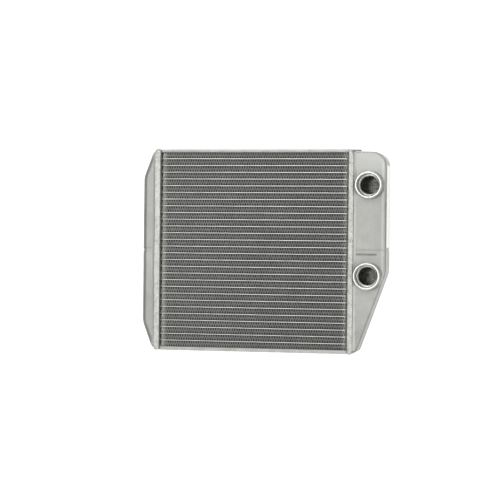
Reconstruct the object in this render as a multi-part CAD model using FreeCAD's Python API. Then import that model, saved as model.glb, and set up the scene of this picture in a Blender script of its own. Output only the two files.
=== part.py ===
import FreeCAD, Part
import math
import os

# Heater core lying on its back: X along the tubes, Y across them, Z out of the face with the two ports.
# All lengths are in millimetres. Z is 0 at the back of the header plates.

# Core: flat tubes with a folded fin in every gap
tube_count = 28
tube_pitch = 6.8
tube_thickness = 1.4
tube_wall = 0.3
tube_depth = 25.0
tube_nose = 0.45
tube_end_reach = 2.0
fin_setback = 0.5
fin_sheet = 0.28
fin_legs = 40
fin_gap_left = 1.3
fin_gap_right = 0.8

# Header plates: pressed trays whose rims close round the tanks
web_spacing = 190.9
header_sheet = 1.4
rim_proud = 4.0
header_bend = 1.6
slot_clearance = 0.05
left_rim_width = 7.0
right_rim_width = 6.4
left_header_above = 3.6
left_header_below = 4.0
right_header_above = 2.5
right_header_below = 4.4
rim_corner = 2.2
rim_round = 1.4
lobe_radius = 3.0

# Tanks: drawn shells, open towards the header plates
tank_sheet = 1.2
tank_clearance = 0.1
left_tank_width = 18.5
left_tank_shoulder = 8.4
left_tank_taper = 27.0
left_tank_bend = 25.0
left_shoulder_radius = 6.0
left_tank_edge_radius = 4.5
right_tank_corner = 14.0
right_tank_foot_width = 9.5
taper_above_port = 3.2
right_tank_bend = 16.0
right_tank_foot_radius = 6.5
right_tank_edge_radius = 2.5

# Stiffening beads pressed into the tanks
bead_width = 2.2
bead_depth = 0.6
left_bead_drop = 0.6
bead_above_baffle = 4.4

# Baffle between the two chambers of the right tank
baffle_above_port = 21.3
baffle_sheet = 1.5
baffle_clearance = 0.1
baffle_tab_start = 0.9
baffle_tab_margin = 9.2
baffle_tab_recess = 0.9

# Side plates: channels that close the stack above and below
plate_sheet = 1.1
plate_bend = 1.3
upper_flange_height = 3.3
lower_flange_height = 4.0
hook_reach = 10.5
hook_width = 14.0
hook_rise = 3.0

# Ports: turned collars for the two water pipes
port_rim_gap = 1.6
port_wall_gap = 4.1
lower_port_shift = 1.1
port_below_end = 34.6
port_spacing = 90.0
port_height = 9.0
seat_radius = 10.6
seat_depth = 10.5
seat_floor = 1.5
bore_step = 1.65
bore_edge = 0.5
lead_in_flare = 1.2
lead_in_depth = 1.2
neck_wall = 1.8
flange_width = 1.4
flange_thickness = 2.1
flange_bevel = 0.6
flange_round = 1.0
foot_width = 0.8
foot_height = 1.3
port_hole_clearance = 0.1

# Two places closer than this are the same place
same_place = 1e-6

# Places worked out from the sizes above
web_left = -web_spacing / 2
web_right = web_spacing / 2
bore_radius = seat_radius - bore_step
neck_radius = seat_radius + neck_wall
foot_radius = neck_radius + foot_width
flange_radius = neck_radius + flange_width
upper_port_x = right_rim_width + port_rim_gap + foot_radius
lower_port_x = upper_port_x - lower_port_shift
right_tank_width = upper_port_x + foot_radius + port_wall_gap
left_tank_reach = web_left - left_tank_width
right_tank_reach = web_right + right_tank_width
shift_x = -(left_tank_reach + right_tank_reach) / 2
header_depth = tube_depth + 2 * rim_proud
header_middle_z = header_depth / 2
tank_back = header_sheet + tank_clearance
tank_front = header_depth - header_sheet - tank_clearance
tube_bottom = header_middle_z - tube_depth / 2
fin_depth = tube_depth - 2 * fin_setback
fin_bottom = header_middle_z - fin_depth / 2
fin_height = tube_pitch - tube_thickness
stack_top = (tube_count * tube_pitch + fin_height) / 2
left_header_top = stack_top + left_header_above
left_header_bottom = -stack_top - left_header_below
right_header_top = stack_top + right_header_above
right_header_bottom = -stack_top - right_header_below
tank_fit = header_sheet + tank_clearance
upper_port_y = right_header_top - port_below_end
lower_port_y = upper_port_y - port_spacing
baffle_y = lower_port_y + baffle_above_port
highest_y = max(left_header_top, right_header_top + plate_sheet, stack_top + upper_flange_height)
lowest_y = min(left_header_bottom, right_header_bottom, -stack_top - lower_flange_height)
shift_y = -(highest_y + lowest_y) / 2


def vector(x, y, z):
    return FreeCAD.Vector(x, y, z)


def tube_y(index):
    """Height of one tube's middle, counted from the top of the stack."""
    return ((tube_count - 1) / 2 - index) * tube_pitch


def rounded_wire(corners, z):
    """Closed outline through corners (x, y, radius), with a tangent arc at every corner that has a radius."""
    starts, mids, ends = [], [], []
    count = len(corners)
    for i, (x, y, radius) in enumerate(corners):
        corner = vector(x, y, z)
        before = vector(corners[i - 1][0], corners[i - 1][1], z) - corner
        after = vector(corners[(i + 1) % count][0], corners[(i + 1) % count][1], z) - corner
        half = before.getAngle(after) / 2
        before.normalize()
        after.normalize()
        middle = before + after
        middle.normalize()
        starts.append(corner + before * (radius / math.tan(half)))
        mids.append(corner + middle * (radius / math.sin(half) - radius))
        ends.append(corner + after * (radius / math.tan(half)))
    edges = []
    for i in range(count):
        if corners[i][2] > 0:
            edges.append(Part.Arc(starts[i], mids[i], ends[i]).toShape())
        edges.append(Part.LineSegment(ends[i], starts[(i + 1) % count]).toShape())
    return Part.Wire(edges)


def prism(corners, z_low, z_high):
    return Part.Face(rounded_wire(corners, z_low)).extrude(vector(0, 0, z_high - z_low))


def inset(corners, distance, push):
    """Corners moved inwards, while the side that joins the last one to the first is pushed outwards."""
    count = len(corners)
    turn = sum(
        corners[i - 1][0] * corners[i][1] - corners[i][0] * corners[i - 1][1] for i in range(count)
    )
    sense = math.copysign(1.0, turn)
    lines = []
    for i in range(count):
        x0, y0, _ = corners[i]
        x1, y1, _ = corners[(i + 1) % count]
        length = math.hypot(x1 - x0, y1 - y0)
        normal = (-(y1 - y0) / length * sense, (x1 - x0) / length * sense)
        move = distance if i < count - 1 else -push
        lines.append((normal, normal[0] * x0 + normal[1] * y0 + move))
    moved = []
    for i in range(count):
        (a, b), c = lines[i - 1]
        (d, e), f = lines[i]
        cross = a * e - b * d
        moved.append(((c * e - b * f) / cross, (a * f - c * d) / cross, max(corners[i][2] - distance, 0)))
    return moved


def is_near(value, wanted):
    return abs(value - wanted) < same_place


def edges_at(shape, test):
    """Edges whose two ends and middle all meet a test on their point."""
    found = []
    for edge in shape.Edges:
        first, last = edge.ParameterRange
        points = [edge.valueAt(first), edge.valueAt((first + last) / 2), edge.valueAt(last)]
        if all(test(point) for point in points):
            found.append(edge)
    return found


def box(x_range, y_range, z_range):
    size = [max(r) - min(r) for r in (x_range, y_range, z_range)]
    return Part.makeBox(*size, vector(min(x_range), min(y_range), min(z_range)))


# Core

def tube_outline(y, depth, thickness, nose):
    """Section of a tube in the YZ plane: long flat sides and chamfered noses."""
    z0, z1 = header_middle_z - depth / 2, header_middle_z + depth / 2
    y0, y1 = y - thickness / 2, y + thickness / 2
    return [
        (y0, z0 + nose), (y0 + nose, z0), (y1 - nose, z0), (y1, z0 + nose),
        (y1, z1 - nose), (y1 - nose, z1), (y0 + nose, z1), (y0, z1 - nose),
    ]


def bar_along_x(points, x0, x1):
    corners = [vector(x0, y, z) for y, z in points]
    return Part.Face(Part.makePolygon(corners + corners[:1])).extrude(vector(x1 - x0, 0, 0))


def flat_tube(index):
    x0 = web_left - header_sheet - tube_end_reach
    x1 = web_right + header_sheet + tube_end_reach
    y = tube_y(index)
    outer = bar_along_x(tube_outline(y, tube_depth, tube_thickness, tube_nose), x0, x1)
    z0 = tube_bottom + tube_wall
    z1 = tube_bottom + tube_depth - tube_wall
    half = tube_thickness / 2 - tube_wall
    passage = box((x0 - tube_wall, x1 + tube_wall), (y - half, y + half), (z0, z1))
    return outer.cut(passage)


def folded_fin(row):
    """One fin folded to and fro between two tubes, or between a tube and a side plate."""
    x0 = web_left + fin_gap_left
    step = (web_right - fin_gap_right - x0) / fin_legs
    top = stack_top - row * tube_pitch
    rise = fin_sheet * math.hypot(step, fin_height) / step
    upper, lower = [], []
    for i in range(fin_legs + 1):
        x = x0 + i * step
        y = top if i % 2 else top - fin_height + rise
        upper.append(vector(x, y, fin_bottom))
        lower.append(vector(x, y - rise, fin_bottom))
    outline = upper + lower[::-1] + upper[:1]
    return Part.Face(Part.makePolygon(outline)).extrude(vector(0, 0, fin_depth))


# Header plates

def header_corners(web_x, outward, rim_width, top, bottom, bottom_radius):
    """Outline of a header tray in the XY plane: its web, and the rims with their cut corners."""
    rim_x = web_x + outward * rim_width
    cut_x = rim_x - outward * rim_corner
    return [
        (web_x, top, header_bend),
        (cut_x, top, rim_round),
        (rim_x, top - rim_corner * 2, rim_round),
        (rim_x, bottom + rim_corner * 2, rim_round),
        (cut_x, bottom, rim_round),
        (web_x, bottom, bottom_radius),
    ]


def header_plate(web_x, outward, rim_width, top, bottom, bottom_radius):
    tray = prism(header_corners(web_x, outward, rim_width, top, bottom, bottom_radius), 0, header_depth)
    bends = edges_at(tray, lambda p: is_near(p.x, web_x) and (is_near(p.z, 0) or is_near(p.z, header_depth)))
    tray = tray.makeFillet(header_bend, bends)
    inner_x = web_x + outward * header_sheet
    mouth_x = web_x + outward * (rim_width + header_sheet)
    hollow = box((inner_x, mouth_x), (bottom + header_sheet, top - header_sheet),
                 (header_sheet, header_depth - header_sheet))
    plate = tray.cut(hollow)
    depth = tube_depth + 2 * slot_clearance
    height = tube_thickness + 2 * slot_clearance
    z0 = header_middle_z - depth / 2
    slots = []
    for i in range(tube_count):
        y = tube_y(i)
        slots.append(box((web_x - outward * header_sheet, inner_x + outward * header_sheet / 2),
                         (y - height / 2, y + height / 2), (z0, z0 + depth)))
    return plate.cut(Part.makeCompound(slots))


# Tanks

def left_tank_corners():
    mouth = web_left - header_sheet
    far = web_left - left_tank_width
    shoulder = web_left - left_tank_shoulder
    top = left_header_top - tank_fit
    bottom = left_header_bottom + tank_fit
    return [
        (mouth, top, 0),
        (shoulder, top, left_shoulder_radius),
        (far, top - left_tank_taper, left_tank_bend),
        (far, bottom + left_tank_taper, left_tank_bend),
        (shoulder, bottom, left_shoulder_radius),
        (mouth, bottom, 0),
    ]


def right_tank_corners():
    mouth = web_right + header_sheet
    far = web_right + right_tank_width
    top = right_header_top - tank_fit
    bottom = right_header_bottom + tank_fit
    return [
        (mouth, bottom, 0),
        (web_right + right_tank_foot_width, bottom, right_tank_foot_radius),
        (far, lower_port_y + taper_above_port, right_tank_bend),
        (far, top, right_tank_corner),
        (mouth, top, 0),
    ]


def tank_body(corners, z_low, z_high, radius):
    """Solid tank form, rounded where its broad faces meet its edge wall. Its mouth stays square."""
    body = prism(corners, z_low, z_high)
    mouth = corners[0][0]
    broad = edges_at(body, lambda p: is_near(p.z, z_low) or is_near(p.z, z_high))
    return body.makeFillet(radius, [e for e in broad if not all(is_near(v.X, mouth) for v in e.Vertexes)])


def beaded(corners, edge_radius, distance, push, bead_y):
    """Tank form moved in by a distance, with the groove of a bead pressed in round it."""
    forms = []
    for level in (distance, distance + bead_depth):
        moved = inset(corners, level, push)
        forms.append(tank_body(moved, tank_back + level, tank_front - level, edge_radius - level))
    whole, pressed = forms
    limits = whole.BoundBox
    belt = box((limits.XMin, limits.XMax), (bead_y - bead_width / 2, bead_y + bead_width / 2),
               (limits.ZMin, limits.ZMax))
    return whole.cut(belt).fuse(pressed.common(belt))


def tank_shell(corners, edge_radius, bead_y):
    outside = beaded(corners, edge_radius, 0, 0, bead_y)
    inside = beaded(corners, edge_radius, tank_sheet, tank_sheet, bead_y)
    return outside.cut(inside)


def port_places():
    return [
        (web_right + upper_port_x, upper_port_y),
        (web_right + lower_port_x, lower_port_y),
    ]


def baffle_tab_range():
    return web_right + right_rim_width + baffle_tab_start, web_right + right_tank_width - baffle_tab_margin


def right_tank():
    """The tank as its back cover, wall and front cover, brazed together where the edge rounds end."""
    shell = tank_shell(right_tank_corners(), right_tank_edge_radius, baffle_y + bead_above_baffle)
    radius = neck_radius + port_hole_clearance
    for x, y in port_places():
        shell = shell.cut(Part.makeCylinder(radius, header_depth, vector(x, y, header_middle_z)))
    half = baffle_sheet / 2 + baffle_clearance
    start, end = baffle_tab_range()
    slot = box((start - baffle_clearance, end + baffle_clearance), (baffle_y - half, baffle_y + half),
               (header_middle_z, header_depth))
    shell = shell.cut(slot)
    limits = shell.BoundBox
    levels = [0, tank_back + right_tank_edge_radius, tank_front - right_tank_edge_radius, header_depth]
    return [
        shell.common(box((limits.XMin, limits.XMax), (limits.YMin, limits.YMax), z_range))
        for z_range in zip(levels, levels[1:])
    ]


# Baffle

def baffle():
    """Plate across the right tank, with a tab that shows in the slot of the tank's front."""
    y0 = baffle_y - baffle_sheet / 2
    y1 = baffle_y + baffle_sheet / 2
    gap = tank_sheet + baffle_clearance
    back = tank_back + gap
    front = tank_front - gap
    far = web_right + right_tank_width - gap
    near = web_right + header_sheet + tube_end_reach + baffle_clearance
    web = web_right + header_sheet
    radius = right_tank_edge_radius - gap
    plate = box((near, far), (y0, y1), (back, front))
    corners = edges_at(plate, lambda p: is_near(p.x, far) and (is_near(p.z, back) or is_near(p.z, front)))
    plate = plate.makeFillet(radius, corners)
    tube_side = tube_depth / 2 + baffle_clearance
    for z0, z1 in ((back, header_middle_z - tube_side), (header_middle_z + tube_side, front)):
        plate = plate.fuse(box((web, near), (y0, y1), (z0, z1)))
    start, end = baffle_tab_range()
    tab = box((start, end), (y0, y1), (front, tank_front - baffle_tab_recess))
    return plate.fuse(tab).removeSplitter()


# Side plates

def side_plate(side, flange_height, hooked):
    """Channel against the outer fin, flanges turned away from it, with a hook over the right header."""
    inner = side * stack_top
    web = inner + side * plate_sheet
    outer = inner + side * flange_height
    z0, z1 = fin_bottom, fin_bottom + fin_depth
    channel = box((web_left, web_right), (inner, outer), (z0, z1))
    bends = edges_at(channel, lambda p: is_near(p.y, inner) and (is_near(p.z, z0) or is_near(p.z, z1)))
    channel = channel.makeFillet(plate_bend, bends)
    channel = channel.cut(box((web_left, web_right), (web, outer), (z0 + plate_sheet, z1 - plate_sheet)))
    if not hooked:
        return channel
    low = inner
    high = right_header_top
    ramp = web_right - hook_rise
    foot = ramp - (high - low)
    tip = web_right + hook_reach
    heel = foot - plate_sheet
    points = [
        (foot, low), (ramp, high), (tip, high), (tip, high + plate_sheet),
        (ramp - plate_sheet, high + plate_sheet), (heel, low + plate_sheet), (heel, low),
    ]
    corners = [vector(x, y, header_middle_z - hook_width / 2) for x, y in points]
    hook = Part.Face(Part.makePolygon(corners + corners[:1])).extrude(vector(0, 0, hook_width))
    return channel.fuse(hook).removeSplitter()


# Ports

def port_collar(x, y):
    """Turned collar: a flange for the pipe clamp, a seat for the pipe's seal and a bore into the tank."""
    top = tank_front + port_height
    shoulder = top - seat_depth
    end = shoulder - seat_floor
    under = top - flange_thickness
    profile = [
        (bore_radius, end),
        (neck_radius, end),
        (neck_radius, tank_front),
        (foot_radius, tank_front),
        (foot_radius, tank_front + foot_height),
        (neck_radius, tank_front + foot_height),
        (neck_radius, under - flange_bevel),
        (flange_radius, under),
        (flange_radius, top - flange_round),
        (flange_radius - flange_round, top),
        (seat_radius + lead_in_flare, top),
        (seat_radius, top - lead_in_depth),
        (seat_radius, shoulder),
        (bore_radius + bore_edge, shoulder),
        (bore_radius, shoulder - bore_edge),
    ]
    points = [vector(r, 0, z) for r, z in profile]
    face = Part.Face(Part.makePolygon(points + points[:1]))
    collar = face.revolve(vector(0, 0, 0), vector(0, 0, 1), 360)
    collar.translate(vector(x, y, 0))
    return collar


# All the pieces, by name

def build():
    pieces = {}
    pieces["left_header_plate"] = header_plate(
        web_left, -1, left_rim_width, left_header_top, left_header_bottom, header_bend)
    pieces["right_header_plate"] = header_plate(
        web_right, 1, right_rim_width, right_header_top, right_header_bottom, lobe_radius)
    pieces["left_tank"] = tank_shell(left_tank_corners(), left_tank_edge_radius, -left_bead_drop)
    for name, cover in zip(("right_tank_back", "right_tank_wall", "right_tank_front"), right_tank()):
        pieces[name] = cover
    pieces["baffle_plate"] = baffle()
    pieces["upper_side_plate"] = side_plate(1, upper_flange_height, True)
    pieces["lower_side_plate"] = side_plate(-1, lower_flange_height, False)
    for name, place in zip(("upper_port_collar", "lower_port_collar"), port_places()):
        pieces[name] = port_collar(*place)
    for i in range(tube_count):
        pieces[f"flat_tube_{i + 1:02d}"] = flat_tube(i)
    for first in range(0, tube_count + 1, 2):
        rows = range(first, min(first + 2, tube_count + 1))
        name = "fins_" + "_".join(f"{row + 1:02d}" for row in rows)
        pieces[name] = Part.makeCompound([folded_fin(row) for row in rows])
    return pieces


os.makedirs("parts", exist_ok=True)
for name, shape in build().items():
    shape.translate(vector(shift_x, shift_y, 0))
    shape.exportStep(f"parts/{name}.step")
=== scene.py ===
import math
import random

import bpy
from mathutils import Matrix, Vector


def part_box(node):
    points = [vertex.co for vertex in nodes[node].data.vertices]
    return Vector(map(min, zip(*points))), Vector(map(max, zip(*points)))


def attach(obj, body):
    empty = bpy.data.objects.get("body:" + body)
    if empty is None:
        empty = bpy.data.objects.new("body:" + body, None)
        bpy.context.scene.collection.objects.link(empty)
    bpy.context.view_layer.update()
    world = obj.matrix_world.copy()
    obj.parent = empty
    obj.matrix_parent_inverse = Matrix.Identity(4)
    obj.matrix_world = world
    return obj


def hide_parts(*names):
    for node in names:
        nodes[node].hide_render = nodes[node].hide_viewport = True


# Heater core lying on its back on a pale table. Lengths are in metres, and MM turns millimetres into them.
MM = 0.001

# Camera: nearly overhead, turned a little to the side of the tank with the ports
EYE_DISTANCE = 1658.5 * MM
LOOK_AT = Vector((-13.173, 0.672, 29.0)) * MM
YAW = math.radians(11.5282)
PITCH = math.radians(0.1808)
ROLL = math.radians(-0.6332)
LENS = 119.109

# Studio light: a soft tent, and softboxes by their place (m), size (m) and power (W)
HORIZON_LIGHT, ZENITH_LIGHT = 0.4, 0.85
SOFTBOXES = {
    "key from the left": ((-0.33, 0.1, 2.0), 0.25, 9.0),
    "second key, from beyond": ((-0.33, 0.9, 1.8), 0.5, 6.0),
    "strip beyond the core": ((0.0, 1.3, 0.9), 0.7, 7.5),
    "strip before the core": ((0.0, -1.3, 0.9), 0.7, 8.0),
    "fill from the right": ((1.1, -0.3, 1.5), 0.4, 13.0),
}

# Table: its size in metres, how strongly it glows, and how soon the glow sets in beside the core
TABLE_SIZE = 16
TABLE_GLOW = 0.2
TABLE_FADE = 2 * MM

# Noise stays near 0.5, so this part of it is stretched over the whole way from the dark to the light colour
NOISE_RANGE = (0.32, 0.68)

# Finishes that several metals share. The tanks' draw picks which of the furnace's clouds fall on them.
TANK_GREYS = ("#7F807D", "#979894")
TANK_FINISH = {
    "cloud_mm": 34, "speck_mm": 1.6, "contrast": 0.2, "roughness": 0.5, "bump_um": 12, "draw": 10.2}
HEADER_FINISH = {"cloud_mm": 9, "speck_mm": 1.7, "contrast": 0.6, "roughness": 0.5, "bump_um": 30}

# Painted shade inside the tank: size and range of its blotches, and how far the sheet has to face up for them
INSIDE_BLOTCH_MM = 2.0
INSIDE_RANGE = (0.34, 0.68)
INSIDE_FACING = (0.1, 0.4)

# Dried flux: its reach from the ends of the fins, the size of its blotches, the sum of nearness and noise at
# which it starts and at which it covers all, and how metallic it leaves the surface
FLUX_REACH = 6.0 * MM
FLUX_BLOTCH_MM = 3.0
FLUX_RANGE = (0.7, 1.25)
FLUX_METALLIC = 0.15

# Painted shade on the tubes' chamfers and sides: how squarely the metal faces up or down where it thins out,
# and where it is gone
TUBE_SHADE_GREY = "#6C6C6A"
TUBE_SHADE_FACING = (0.85, 0.97)

# Tinted bands, each full within its first distance and gone at its second: painted shade on the tube roots at
# the left header, painted light on the tank front's upper end, a painted highlight on the ridge, painted shade
# in the beads
ROOT_SHADE = (1.4 * MM, 3.0 * MM)
UPPER_END_LIGHT = (8 * MM, 42 * MM)
RIDGE_HIGHLIGHT = (0.3 * MM, 1.6 * MM)
BEAD_SHADE = (0.3 * MM, 1.1 * MM)
BEAD_SHADE_GREY = "#50504E"

# From the tank's edge to that ridge, and from the baffle's middle to the beads of both tanks
RIDGE_INSET = 3.7 * MM
BEAD_STEP = 4.5 * MM

# Fin: foil folded to and fro, with louvres cut into each leg. A real row has about 92 folds. These are drawn
# coarser, because the render wouldn't show the real ones.
SINGLE_ROW = "fins_29"
FOLD_COUNTS = (76, 77, 78)
FOIL = 0.1 * MM
CREST_FLAT = 0.12 * MM
CREST_BEND = 0.1 * MM
FIN_SHY = 0.02 * MM
FOLD_WELD = 0.002 * MM
END_DRIFT = 0.2 * MM
LEFT_REACH = 0.4 * MM
LOUVRE_CHORD = 1.15 * MM
LOUVRE_PITCH = 1.45 * MM
LOUVRE_LENGTH = 3.7 * MM
LOUVRE_TILT = math.radians(27)
LOUVRES_PER_FACE = 3
LOUVRE_START = 1.3 * MM
FIN_SEED = 7

# Foil's dull cut edge
EDGE_DEPTH = 0.3 * MM
EDGE_GREY = "#909190"

# Painted shade deep in the core, in black: two distances from a tube's middle line, and how deep the black
# starts at each
PAINTED_SHADE_BLACK = "#0A0A0A"
BLACK_NEAR, BLACK_FAR = 2.2 * MM, 3.4 * MM
BLACK_DEPTH_NEAR, BLACK_DEPTH_FAR = 1.7 * MM, 2.8 * MM
BLACK_FADE = 0.6 * MM

# Fillets of braze filler where the tubes pass through the headers: distance from the header and rise off the
# tube, both in millimetres, and the factors by which single ones are longer or wider
FILLET_PROFILE = ((0.0, 0.7), (0.4, 0.3), (1.0, 0.1), (1.6, -0.05))
FILLET_LENGTHS = (0.7, 1.25)
FILLET_WIDTHS = (0.85, 1.2)
FILLET_SEED = 3

# Seam of braze filler along the edge of each header's rim
SEAM_DROP = 0.15 * MM
SEAM_DESCENT = 1.2 * MM
SEAM_THICKNESS = 0.5 * MM
SEAM_STEP = 2.5 * MM
SEAM_JITTER = 0.05 * MM
SEAM_END_GAP = 4.5 * MM
RIM_WIDTHS = {"left_header_plate": 7.0 * MM, "right_header_plate": 6.4 * MM}
SEAM_WIDTHS = {"left_header_plate": 0.9 * MM, "right_header_plate": 2.2 * MM}
SEAM_SEED = 5

# Label on the outer wall of the tank with the ports
LABEL_LOW, LABEL_HIGH = 4.2 * MM, 85.8 * MM
LABEL_WIDTH = 24 * MM
LABEL_THICKNESS = 0.06 * MM
LABEL_CORNER = 1.5 * MM
LABEL_CORNER_STEPS = 4

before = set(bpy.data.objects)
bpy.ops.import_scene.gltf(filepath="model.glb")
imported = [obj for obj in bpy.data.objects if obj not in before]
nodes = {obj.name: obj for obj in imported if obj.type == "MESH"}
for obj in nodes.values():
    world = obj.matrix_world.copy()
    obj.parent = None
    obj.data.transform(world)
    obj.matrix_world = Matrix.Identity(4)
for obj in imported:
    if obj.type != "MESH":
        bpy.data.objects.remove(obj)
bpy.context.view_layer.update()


def deselect():
    bpy.ops.object.select_all(action="DESELECT")


def make_active(piece):
    deselect()
    piece.select_set(True)
    bpy.context.view_layer.objects.active = piece


def join(pieces, name):
    """Several meshes as one piece, under a new name."""
    make_active(pieces[0])
    for piece in pieces[1:]:
        piece.select_set(True)
    bpy.ops.object.join()
    pieces[0].name = name
    return pieces[0]


def settle(piece):
    """Puts the piece's place, turn and scale into its mesh."""
    make_active(piece)
    bpy.ops.object.transform_apply(location=True, rotation=True, scale=True)


def finish_modifier(piece, kind, **settings):
    """Adds a modifier with its settings and applies it."""
    make_active(piece)
    modifier = piece.modifiers.new(kind.title(), kind)
    for name, value in settings.items():
        setattr(modifier, name, value)
    bpy.ops.object.modifier_apply(modifier=modifier.name)


def copy_of(piece, name, move):
    """A copy with a mesh of its own, moved."""
    copy = piece.copy()
    copy.data = piece.data.copy()
    copy.name = name
    bpy.context.collection.objects.link(copy)
    copy.data.transform(Matrix.Translation(move))
    return copy


def select_where(piece, test):
    """Edit mode with just the vertices selected whose place meets the test, and what lies between them."""
    make_active(piece)
    bpy.ops.object.mode_set(mode="EDIT")
    bpy.ops.mesh.select_mode(type="VERT")
    bpy.ops.mesh.select_all(action="DESELECT")
    bpy.ops.object.mode_set(mode="OBJECT")
    for vertex in piece.data.vertices:
        vertex.select = test(vertex.co)
    bpy.ops.object.mode_set(mode="EDIT")


def close_edit():
    """Turns all faces of the mesh in edit mode outwards and leaves that mode."""
    bpy.ops.mesh.select_all(action="SELECT")
    bpy.ops.mesh.normals_make_consistent(inside=False)
    bpy.ops.object.mode_set(mode="OBJECT")


def flat_sheet(name, side, other, centre):
    """A flat rectangle: side and other are its two edges as vectors."""
    bpy.ops.mesh.primitive_plane_add(size=1)
    sheet = bpy.context.object
    sheet.name = name
    normal = side.cross(other).normalized()
    sheet.matrix_world = Matrix((
        (side.x, other.x, normal.x, centre.x),
        (side.y, other.y, normal.y, centre.y),
        (side.z, other.z, normal.z, centre.z),
        (0, 0, 0, 1),
    ))
    settle(sheet)
    return sheet


# Materials

def linear(code):
    """An sRGB hex colour as linear RGBA."""
    values = [int(code[i:i + 2], 16) / 255 for i in (1, 3, 5)]
    return tuple(v / 12.92 if v <= 0.04045 else ((v + 0.055) / 1.055) ** 2.4 for v in values) + (1.0,)


def add_node(tree, kind, inputs, **settings):
    """Adds a shader node. Each input is given a value, or the socket that feeds it."""
    made = tree.nodes.new("ShaderNode" + kind)
    for name, value in settings.items():
        setattr(made, name, value)
    for socket, value in inputs.items():
        if isinstance(value, bpy.types.NodeSocket):
            tree.links.new(value, made.inputs[socket])
        else:
            made.inputs[socket].default_value = value
    return made


def calculate(tree, operation, *values):
    return add_node(tree, "Math", dict(enumerate(values)), operation=operation).outputs[0]


def remap(tree, value, start, end, to_start=0.0, to_end=1.0):
    """The way from start to end turned into the way between two other values, and held beyond its ends."""
    return add_node(tree, "MapRange", {
        "Value": value, "From Min": start, "From Max": end, "To Min": to_start, "To Max": to_end}).outputs[0]


def per_metre(size_mm):
    """Pattern scale whose features are about this many millimetres."""
    return 1 / (size_mm * MM)


def noise(tree, place, size_mm, detail):
    return add_node(tree, "TexNoise", {
        "Vector": place, "Scale": per_metre(size_mm), "Detail": detail}).outputs["Fac"]


def mix_colours(tree, share, first, second):
    """The first colour where the share is 0 and the second where it is 1. Each is a hex code or a socket."""
    first, second = (linear(colour) if isinstance(colour, str) else colour for colour in (first, second))
    return add_node(tree, "Mix", {0: share, 6: first, 7: second}, data_type="RGBA").outputs[2]


def blend_colour(tree, share, first, second):
    """Makes such a mixture the base colour."""
    colour = mix_colours(tree, share, first, second)
    tree.links.new(colour, tree.nodes["Principled BSDF"].inputs["Base Color"])


def lay_over(tree, share, colour):
    """Lays another colour over the base colour as it is so far."""
    under = tree.nodes["Principled BSDF"].inputs["Base Color"].links[0].from_socket
    blend_colour(tree, share, under, colour)


def add_bump(tree, height, strength, distance):
    bump = add_node(tree, "Bump", {"Height": height, "Strength": strength, "Distance": distance})
    tree.links.new(bump.outputs["Normal"], tree.nodes["Principled BSDF"].inputs["Normal"])


def new_material(name, roughness, metallic=1.0):
    """A material, its nodes, its shader, and the place on the piece that patterns are drawn by."""
    material = bpy.data.materials.new(name)
    material.use_nodes = True
    tree = material.node_tree
    shader = tree.nodes["Principled BSDF"]
    shader.inputs["Metallic"].default_value = metallic
    shader.inputs["Roughness"].default_value = roughness
    place = add_node(tree, "TexCoord", {}).outputs["Object"]
    return material, tree, shader, place


def mottled_metal(name, dark, light, cloud_mm, speck_mm, contrast, roughness, bump_um,
                  draw=0.0, metallic=1.0):
    """Brazed sheet: broad clouds from the furnace, and fine specks of flux and filler over them."""
    material, tree, _, place = new_material(name, roughness, metallic)
    cloud = add_node(tree, "TexNoise", {
        "Vector": place, "W": draw, "Scale": per_metre(cloud_mm), "Detail": 3.0}, noise_dimensions="4D")
    speck = noise(tree, place, speck_mm, 2.0)
    both = add_node(tree, "Mix", {0: contrast, 2: cloud.outputs["Fac"], 3: speck}).outputs[0]
    blend_colour(tree, remap(tree, both, *NOISE_RANGE), dark, light)
    add_bump(tree, speck, 0.5, bump_um * MM / 1000)
    return material


def add_flux(material, left, right, powder, bare_metallic):
    """White flux that has dried on the metal near the headers, in blotches that thin out away from them."""
    tree = material.node_tree
    place = add_node(tree, "TexCoord", {}).outputs["Object"]
    along = add_node(tree, "SeparateXYZ", {0: place}).outputs["X"]
    near_left = remap(tree, along, left + FLUX_REACH, left)
    near_right = remap(tree, along, right - FLUX_REACH, right)
    near = calculate(tree, "ADD", near_left, near_right)
    amount = calculate(tree, "ADD", near, noise(tree, place, FLUX_BLOTCH_MM, 3.0))
    mask = remap(tree, amount, *FLUX_RANGE)
    lay_over(tree, mask, powder)
    bare = remap(tree, mask, 0.0, 1.0, bare_metallic, FLUX_METALLIC)
    tree.links.new(bare, tree.nodes["Principled BSDF"].inputs["Metallic"])


def weather_and_shade_foil(material, foil_low, foil_high, tube_middle, tube_pitch):
    """Cut edges dulled by burnt flux, legs that stay clean for a few millimetres, and painted shade in black
    further in, where the folds shade the legs. Beside the tubes, where the legs spread, the painted shade comes
    nearer to the front and shows as dots."""
    tree = material.node_tree
    sides = add_node(tree, "SeparateXYZ", {0: add_node(tree, "TexCoord", {}).outputs["Object"]})
    from_tube = calculate(tree, "SUBTRACT", sides.outputs["Y"], tube_middle)
    off_tube = calculate(tree, "PINGPONG", from_tube, tube_pitch / 2)
    half_depth = (foil_high.z - foil_low.z) / 2
    black_from = remap(tree, off_tube, BLACK_NEAR, BLACK_FAR,
                       half_depth - BLACK_DEPTH_NEAR, half_depth - BLACK_DEPTH_FAR)
    from_middle = calculate(tree, "SUBTRACT", sides.outputs["Z"], foil_low.z + half_depth)
    away = calculate(tree, "ABSOLUTE", from_middle)
    past = calculate(tree, "SUBTRACT", away, black_from)
    # Painted shade: black laid on the legs past their clean front
    lay_over(tree, remap(tree, past, -BLACK_FADE, 0.0, 1.0, 0.0), PAINTED_SHADE_BLACK)
    lay_over(tree, remap(tree, away, half_depth - EDGE_DEPTH, half_depth - EDGE_DEPTH / 2), EDGE_GREY)


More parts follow.
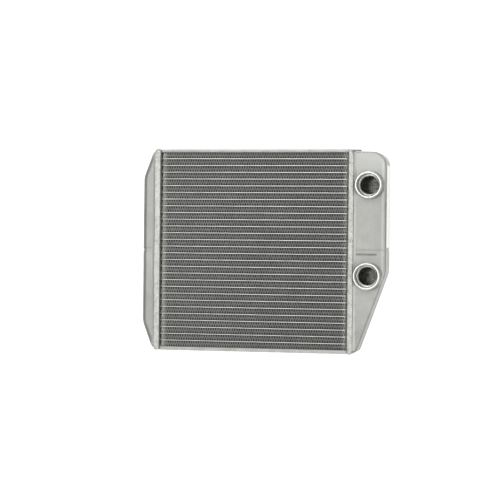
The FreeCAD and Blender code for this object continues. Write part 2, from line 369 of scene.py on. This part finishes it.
def shade_tube_sides(material):
    """Painted shade on the tubes' chamfers and sides, on all but their noses."""
    tree = material.node_tree
    facing = add_node(tree, "SeparateXYZ", {0: add_node(tree, "TexCoord", {}).outputs["Normal"]}).outputs["Z"]
    upright = calculate(tree, "ABSOLUTE", facing)
    lay_over(tree, remap(tree, upright, *TUBE_SHADE_FACING, 1.0, 0.0), TUBE_SHADE_GREY)


def tint_band(material, axis, centre, reach, tint, share):
    """Tints the metal round one place along an axis. Reach is how far it is full, and where it is gone."""
    tree = material.node_tree
    along = add_node(tree, "SeparateXYZ", {0: add_node(tree, "TexCoord", {}).outputs["Object"]}).outputs[axis]
    away = calculate(tree, "ABSOLUTE", calculate(tree, "SUBTRACT", along, centre))
    full, gone = reach
    lay_over(tree, remap(tree, away, gone, full, 0.0, share), tint)


def shade_inside(material):
    """Inside of the tank's back cover, which faces up: darkened as painted shade of the closed tank, and
    blotchy.
    """
    tree = material.node_tree
    coordinates = add_node(tree, "TexCoord", {})
    facing = add_node(tree, "SeparateXYZ", {0: coordinates.outputs["Normal"]}).outputs["Z"]
    blotch = noise(tree, coordinates.outputs["Object"], INSIDE_BLOTCH_MM, 4.0)
    inside = mix_colours(tree, remap(tree, blotch, *INSIDE_RANGE), "#444442", "#7E7E7A")
    lay_over(tree, remap(tree, facing, *INSIDE_FACING), inside)


def turned_metal(name, centre):
    """Turned aluminium: bright, with rings round the axis like those a tool leaves, about 2 mm apart."""
    material, tree, _, place = new_material(name, 0.45)
    centred = add_node(tree, "Mapping", {"Vector": place, "Location": -centre}).outputs["Vector"]
    rings = add_node(tree, "TexWave", {
        "Vector": centred, "Scale": per_metre(6.0), "Distortion": 0.6, "Detail": 1.0},
        wave_type="RINGS", rings_direction="Z").outputs["Fac"]
    blend_colour(tree, rings, "#A3A4A1", "#C4C5C2")
    add_bump(tree, rings, 0.3, 0.02 * MM)
    return material


def coated_paper(name):
    """Label paper: white and slightly glossy, with faint waves where it has been pressed on."""
    material, tree, _, place = new_material(name, 0.35, metallic=0.0)
    wave = noise(tree, place, 9.0, 2.0)
    blend_colour(tree, wave, "#BEBEBC", "#CACAC8")
    add_bump(tree, wave, 0.4, 0.05 * MM)
    return material


def lit_table(name, low, high):
    """Opal acrylic table top with lamps under it: white, matt, faintly glowing, but dark beneath the core."""
    material, tree, shader, place = new_material(name, 0.9, metallic=0.0)
    shader.inputs["Emission Color"].default_value = (1, 1, 1, 1)
    centred = add_node(tree, "Mapping", {"Vector": place, "Location": -(low + high) / 2}).outputs["Vector"]
    sides = add_node(tree, "SeparateXYZ", {0: centred})
    past = [
        calculate(tree, "SUBTRACT", calculate(tree, "ABSOLUTE", sides.outputs[axis]), half)
        for axis, half in (("X", (high.x - low.x) / 2), ("Y", (high.y - low.y) / 2))
    ]
    glow = remap(tree, calculate(tree, "MAXIMUM", *past), 0.0, TABLE_FADE, 0.0, TABLE_GLOW)
    tree.links.new(glow, shader.inputs["Emission Strength"])
    blend_colour(tree, noise(tree, place, 60.0, 2.0), "#F8F8F8", "#FDFDFD")
    return material


def wear(piece, material):
    """Gives the piece this material and no other."""
    piece.data.materials.clear()
    piece.data.materials.append(material)


# Fins

def fold_of_foil(pitch, height, depth):
    """One fold, two legs and two crests wide, its left crest on the origin, with its louvres."""
    rise = height - FOIL - 2 * FIN_SHY
    lean = (pitch - 2 * CREST_FLAT - 4 * CREST_BEND) / 2
    leg = Vector((lean, rise - 2 * CREST_BEND, 0))
    low = FIN_SHY + FOIL / 2
    crest = Vector((CREST_FLAT, 0, 0))
    along = Vector((0, 0, depth))
    fold = flat_sheet("fold", crest, along, crest / 2 + along / 2 + Vector((0, low, 0)))
    select_where(fold, lambda p: p.x > CREST_FLAT / 2)
    bend = CREST_BEND
    for x, y in ((bend, bend), (leg.x, leg.y), (bend, bend), (CREST_FLAT, 0),
                 (bend, -bend), (leg.x, -leg.y), (bend, -bend)):
        bpy.ops.mesh.extrude_region_move(TRANSFORM_OT_translate={"value": (x, y, 0)})
    bpy.ops.object.mode_set(mode="OBJECT")
    pieces = [fold]
    middle_y = low + rise / 2
    first_x = CREST_FLAT + CREST_BEND + leg.x / 2
    second_x = first_x + leg.x + 2 * CREST_BEND + CREST_FLAT
    faces = ((-1, depth - LOUVRE_START, -LOUVRE_PITCH), (1, LOUVRE_START, LOUVRE_PITCH))
    for middle_x, way in ((first_x, 1), (second_x, -1)):
        run = Vector((leg.x * way, leg.y, 0)).normalized()
        across = Vector((run.y, -run.x, 0))
        for face, start, step in faces:
            chord = Vector((0, 0, math.cos(LOUVRE_TILT))) + across * (face * math.sin(LOUVRE_TILT))
            for i in range(LOUVRES_PER_FACE):
                centre = Vector((middle_x, middle_y, start + step * (i + 0.5)))
                pieces.append(flat_sheet("louvre", chord * LOUVRE_CHORD, run * LOUVRE_LENGTH, centre))
    return join(pieces, "fold")


def fin_row(count, length, height, depth):
    """A whole row of folds, made of foil."""
    pitch = length / count
    row = fold_of_foil(pitch, height, depth)
    finish_modifier(row, "SOLIDIFY", thickness=FOIL, offset=0)
    finish_modifier(row, "ARRAY", count=count, use_relative_offset=False, use_constant_offset=True,
                    constant_offset_displace=(pitch, 0, 0), use_merge_vertices=True,
                    merge_threshold=FOLD_WELD)
    return row


def place_fins(foil):
    """Rows of fine folds in place of each fin node. A node holds two rows, and the last one a single row."""
    low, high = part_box(SINGLE_ROW)
    height, depth = high.y - low.y, high.z - low.z
    length = high.x - low.x + LEFT_REACH - END_DRIFT - CREST_FLAT
    models = [fin_row(count, length, height, depth) for count in FOLD_COUNTS]
    drift = random.Random(FIN_SEED)
    for node in sorted(n for n in nodes if n.startswith("fins_")):
        low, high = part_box(node)
        feet = [low.y] if node == SINGLE_ROW else [high.y - height, low.y]
        start = low.x - LEFT_REACH
        rows = [
            copy_of(drift.choice(models), "row", Vector((start + drift.uniform(0, END_DRIFT), foot, low.z)))
            for foot in feet
        ]
        fin = join(rows, node.replace("fins", "folded_fins"))
        wear(fin, foil)
        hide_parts(node)
        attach(fin, "root")
    for row in models:
        bpy.data.objects.remove(row)


# Braze filler

def tube_fillet(thickness, depth):
    """Filler drawn up round one tube, from the header at x = 0, wide at its foot and run out along it."""
    reach, rise = FILLET_PROFILE[0]
    side, other = Vector((0, thickness + 2 * rise * MM, 0)), Vector((0, 0, depth + 2 * rise * MM))
    fillet = flat_sheet("fillet", side, other, Vector())
    select_where(fillet, lambda p: True)
    for next_reach, next_rise in FILLET_PROFILE[1:]:
        step = (next_reach - reach) * MM
        bpy.ops.mesh.extrude_region_move(TRANSFORM_OT_translate={"value": (step, 0, 0)})
        shrink = [(size + 2 * next_rise * MM) / (size + 2 * rise * MM) for size in (thickness, depth)]
        bpy.ops.transform.resize(value=(1, *shrink), center_override=(next_reach * MM, 0, 0))
        reach, rise = next_reach, next_rise
    close_edit()
    return fillet


def place_fillets(filler):
    """A fillet on every tube at both headers, each a little different."""
    draw = random.Random(FILLET_SEED)
    low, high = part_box("flat_tube_01")
    model = tube_fillet(high.y - low.y, high.z - low.z)
    for side, way in (("left", 1), ("right", -1)):
        low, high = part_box(side + "_header_plate")
        web = high.x if way > 0 else low.x
        fillets = []
        for tube in sorted(n for n in nodes if n.startswith("flat_tube")):
            low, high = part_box(tube)
            fillet = copy_of(model, "fillet", Vector())
            shape = Matrix.Diagonal((way * draw.uniform(*FILLET_LENGTHS), draw.uniform(*FILLET_WIDTHS), 1, 1))
            foot = Vector((web, (low.y + high.y) / 2, (low.z + high.z) / 2))
            fillet.data.transform(Matrix.Translation(foot) @ shape)
            fillets.append(fillet)
        piece = join(fillets, side + "_tube_fillets")
        select_where(piece, lambda p: True)
        close_edit()
        wear(piece, filler)
        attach(piece, "root")
    bpy.data.objects.remove(model)


def seam(start, length, width, way, draw):
    """Uneven bar of filler along y, sloping from a rim's edge down to the tank."""
    slope = Vector((width * way, 0, -SEAM_DESCENT))
    across = Vector((-SEAM_DESCENT * way, 0, -width)).normalized() * SEAM_THICKNESS
    bar = flat_sheet("seam", slope, across, start + slope / 2 + across / 2)
    select_where(bar, lambda p: True)
    offset = 0
    steps = round(length / SEAM_STEP)
    for i in range(steps):
        shift = draw.uniform(-SEAM_JITTER, SEAM_JITTER)
        bpy.ops.mesh.extrude_region_move(
            TRANSFORM_OT_translate={"value": (shift - offset, length / steps, (offset - shift) * way)})
        offset = shift
    close_edit()
    return bar


def place_seams(filler):
    """A seam along the outer edge of each header's rim."""
    draw = random.Random(SEAM_SEED)
    for header, width in RIM_WIDTHS.items():
        low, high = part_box(header)
        way = -1 if header.startswith("left") else 1
        rim = high.x - width if way < 0 else low.x + width
        start = Vector((rim, low.y + SEAM_END_GAP, high.z - SEAM_DROP))
        bar = seam(start, high.y - low.y - 2 * SEAM_END_GAP, SEAM_WIDTHS[header], way, draw)
        bar.name = header.replace("plate", "seam")
        wear(bar, filler)
        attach(bar, "root")


# Label

def place_label(paper):
    """Blank label with rounded corners, stuck on the wall's outer face."""
    low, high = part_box("right_tank_wall")
    middle_z = (low.z + high.z) / 2
    length = LABEL_HIGH - LABEL_LOW
    centre = Vector((high.x, (LABEL_LOW + LABEL_HIGH) / 2, middle_z))
    label = flat_sheet("side_label", Vector((0, length, 0)), Vector((0, 0, LABEL_WIDTH)), centre)
    select_where(label, lambda p: True)
    bpy.ops.mesh.bevel(offset=LABEL_CORNER, offset_type="OFFSET", segments=LABEL_CORNER_STEPS,
                       affect="VERTICES")
    bpy.ops.object.mode_set(mode="OBJECT")
    finish_modifier(label, "SOLIDIFY", thickness=LABEL_THICKNESS, offset=1)
    wear(label, paper)
    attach(label, "root")


# Studio

def place_camera():
    """Camera on the line of sight that yaw and pitch give, then rolled about it."""
    toward = Vector((math.sin(YAW) * math.cos(PITCH), math.sin(PITCH), math.cos(YAW) * math.cos(PITCH)))
    right = Vector((math.cos(YAW), 0, -math.sin(YAW)))
    up = toward.cross(right)
    side = math.cos(ROLL) * right - math.sin(ROLL) * up
    top = math.sin(ROLL) * right + math.cos(ROLL) * up
    turn = Matrix((side, top, toward)).transposed().to_4x4()
    camera = bpy.data.objects.new("camera", bpy.data.cameras.new("camera"))
    camera.data.lens = LENS
    camera.matrix_world = Matrix.Translation(LOOK_AT + toward * EYE_DISTANCE) @ turn
    bpy.context.collection.objects.link(camera)
    bpy.context.scene.camera = camera


def softbox(name, place, size, power):
    """Square lamp that faces the middle of the core."""
    lamp = bpy.data.objects.new(name, bpy.data.lights.new(name, "AREA"))
    lamp.data.size = size
    lamp.data.energy = power
    lamp.location = place
    lamp.rotation_euler = Vector(place).to_track_quat("Z", "Y").to_euler()
    bpy.context.collection.objects.link(lamp)


def light_tent(horizon, zenith):
    """Soft light from all round, dimmer towards the table."""
    world = bpy.data.worlds.new("light tent")
    world.use_nodes = True
    bpy.context.scene.world = world
    tree = world.node_tree
    way = add_node(tree, "TexCoord", {}).outputs["Generated"]
    height = add_node(tree, "SeparateXYZ", {0: way}).outputs["Z"]
    strength = remap(tree, height, 0.0, 1.0, horizon, zenith)
    tree.links.new(strength, tree.nodes["Background"].inputs["Strength"])
    tree.nodes["Background"].inputs["Color"].default_value = (1, 1, 1, 1)


def place_table(acrylic):
    """Table top at the height that the core lies on."""
    deselect()
    bpy.ops.mesh.primitive_plane_add(size=TABLE_SIZE)
    table = bpy.context.object
    table.name = "table"
    wear(table, acrylic)


# What the pieces are made of
tank_metal = mottled_metal("drawn and brazed aluminium tank", *TANK_GREYS, **TANK_FINISH)
left_tank_metal = mottled_metal("drawn and brazed aluminium return tank", *TANK_GREYS, **TANK_FINISH)
# The tank's front is a darker copy of the tank's metal, as painted shade; the bands below add painted light and
# shade
front_metal = mottled_metal("drawn and brazed aluminium tank front", "#797A77", "#90918D", **TANK_FINISH)
inside_metal = mottled_metal("tank sheet, painted shade inside", *TANK_GREYS, **TANK_FINISH)
# The two headers are one metal in a lit and a shaded copy: the right one is darker as painted shade
left_header_metal = mottled_metal("pressed aluminium header with braze filler", "#81827E", "#B3B4B0",
                                  **HEADER_FINISH)
right_header_metal = mottled_metal("pressed aluminium header, darker as painted shade", "#7C7D79", "#ACADA9", **HEADER_FINISH)
plate_metal = mottled_metal("bent aluminium side plate", "#82837F", "#9A9B97", cloud_mm=14, speck_mm=2.2,
                            contrast=0.4, roughness=0.5, bump_um=20)
tube_metal = mottled_metal("flat aluminium tube with flux", "#9C9D99", "#B9BAB6", cloud_mm=8, speck_mm=1.5,
                           contrast=0.5, roughness=0.45, bump_um=15)
foil_metal = mottled_metal("rolled aluminium fin foil", "#D0D0CE", "#DEDEDC", cloud_mm=16, speck_mm=2.5,
                           contrast=0.4, roughness=0.45, bump_um=5)
# The filler is darker as painted shade of the joints between the tubes and the headers
filler_metal = mottled_metal("braze filler, darkened as painted shade of the joints", "#5E5E5A", "#8A8A86", cloud_mm=5, speck_mm=1.2,
                             contrast=0.5, roughness=0.5, bump_um=30)
seam_metal = mottled_metal("braze filler under dried flux", "#949490", "#AAAAA6", cloud_mm=6, speck_mm=1.2,
                           contrast=0.5, roughness=0.6, bump_um=20, metallic=0.15)
# The baffle is darker as painted shade, where its tab shows in the slot of the tank's front
baffle_metal = mottled_metal("baffle sheet, darkened as painted shade in its slot", "#666663", "#80807C", cloud_mm=6, speck_mm=1.2,
                             contrast=0.4, roughness=0.55, bump_um=15)

# Painted light and shade on the tanks
shade_inside(inside_metal)
baffle_low, baffle_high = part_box("baffle_plate")
bead_y = (baffle_low.y + baffle_high.y) / 2 + BEAD_STEP
front_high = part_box("right_tank_front")[1]
# Painted light: the upper end of the tank's front is tinted paler, where more light falls on it
tint_band(front_metal, "Y", front_high.y, UPPER_END_LIGHT, "#A6A7A3", 0.35)
# Painted highlight: a lighter band along the ridge inside the front's right edge
tint_band(front_metal, "X", front_high.x - RIDGE_INSET, RIDGE_HIGHLIGHT, "#D0D0CC", 0.14)
# Painted shade in the beads of both tanks, where their grooves lie in shade
tint_band(front_metal, "Y", bead_y, BEAD_SHADE, BEAD_SHADE_GREY, 0.16)
tint_band(left_tank_metal, "Y", bead_y, BEAD_SHADE, BEAD_SHADE_GREY, 0.25)

# Painted shade, dried flux and dulled edges on the core
tubes = [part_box(name) for name in sorted(nodes) if name.startswith("flat_tube")]
tube_pitch = (tubes[-1][0].y - tubes[0][0].y) / (len(tubes) - 1)
tube_middle = (tubes[0][0].y + tubes[0][1].y) / 2
fin_low, fin_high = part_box(SINGLE_ROW)
weather_and_shade_foil(foil_metal, fin_low, fin_high, tube_middle, tube_pitch)
add_flux(foil_metal, fin_low.x, fin_high.x, "#E6E6E0", 0.3)
shade_tube_sides(tube_metal)
add_flux(tube_metal, fin_low.x, fin_high.x, "#A8A8A2", 1.0)
left_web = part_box("left_header_plate")[1].x
# Painted shade on the roots of the tubes and their fillets beside the left header, where the gap lies in shade
for metal in (tube_metal, filler_metal):
    tint_band(metal, "X", left_web, ROOT_SHADE, "#565654", 1.0)

own_metals = {
    "baffle_plate": baffle_metal,
    "left_header_plate": left_header_metal,
    "left_tank": left_tank_metal,
    "right_header_plate": right_header_metal,
    "right_tank_back": inside_metal,
    "right_tank_front": front_metal,
    "right_tank_wall": tank_metal,
}
for name, node in nodes.items():
    if name in own_metals:
        wear(node, own_metals[name])
    elif name.startswith("flat_tube"):
        wear(node, tube_metal)
    elif name.endswith("side_plate"):
        wear(node, plate_metal)
    elif name.endswith("collar"):
        low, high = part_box(name)
        wear(node, turned_metal("turned aluminium of " + name, (low + high) / 2))

# The table stays dark beneath the fins and the side plates
core_low = Vector((fin_low.x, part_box("lower_side_plate")[0].y, 0))
core_high = Vector((fin_high.x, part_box("upper_side_plate")[1].y, 0))

place_fins(foil_metal)
place_fillets(filler_metal)
place_seams(seam_metal)
place_label(coated_paper("white coated label paper"))
place_table(lit_table("opal acrylic table top", core_low, core_high))
place_camera()
light_tent(HORIZON_LIGHT, ZENITH_LIGHT)
for lamp, (place, size, power) in SOFTBOXES.items():
    softbox(lamp, place, size, power)
bpy.context.scene.view_settings.view_transform = "Standard"
